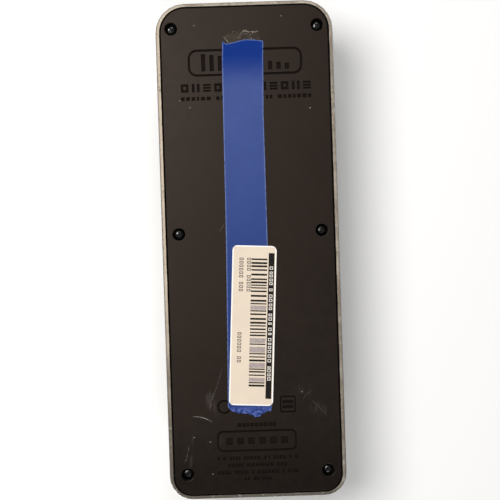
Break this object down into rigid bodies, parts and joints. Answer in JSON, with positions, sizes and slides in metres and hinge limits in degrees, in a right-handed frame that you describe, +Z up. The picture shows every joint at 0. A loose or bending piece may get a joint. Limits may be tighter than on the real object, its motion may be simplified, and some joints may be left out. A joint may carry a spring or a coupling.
{
  "type": "volume pedal",
  "caption": "Band-drive volume pedal: a cast housing on a rubber sole, a ribbed rocking treadle on an axle, and jacks in the toe end.",
  "frame": {"origin": "middle of the sole's underside, on the floor", "axes": "+Z up, +Y towards the toe end that holds the jacks, +X to the player's right"},
  "size_m": [0.1, 0.28, 0.0668],
  "materials": {
    "casting": "silver-grey enamel on an aluminium die casting, worn at the lower rim",
    "sole_rubber": "matt brown-black rubber with scuffs",
    "tread_rubber": "matt black ribbed rubber",
    "black_steel": "black oxide",
    "zinc_steel": "zinc plated",
    "nickel": "nickel plated",
    "brass": "turned",
    "black_plastic": "moulded",
    "nylon": "natural nylon",
    "fibre": "red vulcanised fibre",
    "board": "green solder mask",
    "wire_white": "soft insulation",
    "wire_red": "soft insulation",
    "wire_black": "soft insulation",
    "tape": "blue crepe paper masking tape",
    "paper": "cream sticker paper"
  },
  "bodies": {
    "base": {"housing": "casting", "base_plate": "zinc_steel", "rubber_sole": "sole_rubber", "base_screw_toe_right": "black_steel", "base_screw_toe_left": "black_steel", "base_screw_middle_right": "black_steel", "base_screw_middle_left": "black_steel", "base_screw_heel_right": "black_steel", "base_screw_heel_left": "black_steel", "input_jack": "black_plastic", "input_jack_washer": "nickel", "input_jack_nut": "nickel", "aux_jack": "black_plastic", "aux_jack_washer": "nickel", "aux_jack_nut": "nickel", "output_jack": "black_plastic", "output_jack_washer": "nickel", "output_jack_nut": "nickel", "circuit_board": "board", "wire_header": "nylon", "potentiometer": "zinc_steel", "pot_nut": "nickel", "pot_bracket": "zinc_steel", "bracket_screw_rear": "zinc_steel", "bracket_screw_front": "zinc_steel", "pot_wire_1": "wire_white", "pot_wire_2": "wire_red", "pot_wire_3": "wire_black", "axle": "zinc_steel", "axle_screw_right": "zinc_steel", "axle_screw_left": "zinc_steel", "friction_washer_right": "fibre", "friction_washer_left": "fibre", "spring_washer_right": "nickel", "spring_washer_left": "nickel", "bumper_toe_right": "tread_rubber", "bumper_toe_left": "tread_rubber", "bumper_heel_right": "tread_rubber", "bumper_heel_left": "tread_rubber"},
    "treadle": {"treadle": "casting", "tread_pad": "tread_rubber", "axle_bush_right": "nylon", "axle_bush_left": "nylon", "drive_sector": "casting", "sector_screw_front": "black_steel", "sector_screw_rear": "black_steel", "drive_band": "nickel", "band_clamp_upper": "zinc_steel", "band_clamp_lower": "zinc_steel", "band_screw_upper": "zinc_steel", "band_screw_lower": "zinc_steel"},
    "pulley": {"drive_pulley": "brass", "pot_shaft": "nickel", "band_turn": "nickel", "pulley_screw": "zinc_steel"}
  },
  "joints": [
    {"name": "treadle_rock", "type": "hinge", "parent": "base", "child": "treadle", "pos_m": [0, 0, 0.048], "axis": [1, 0, 0], "range_deg": [-11, 11]},
    {"name": "pulley_turn", "type": "hinge", "parent": "base", "child": "pulley", "pos_m": [0, 0.05257, 0.02676], "axis": [1, 0, 0], "range_deg": [-102, 102]}
  ],
  "couplings": [
    {"joint": "pulley_turn", "follows": "treadle_rock", "ratio": -9.1818}
  ]
}
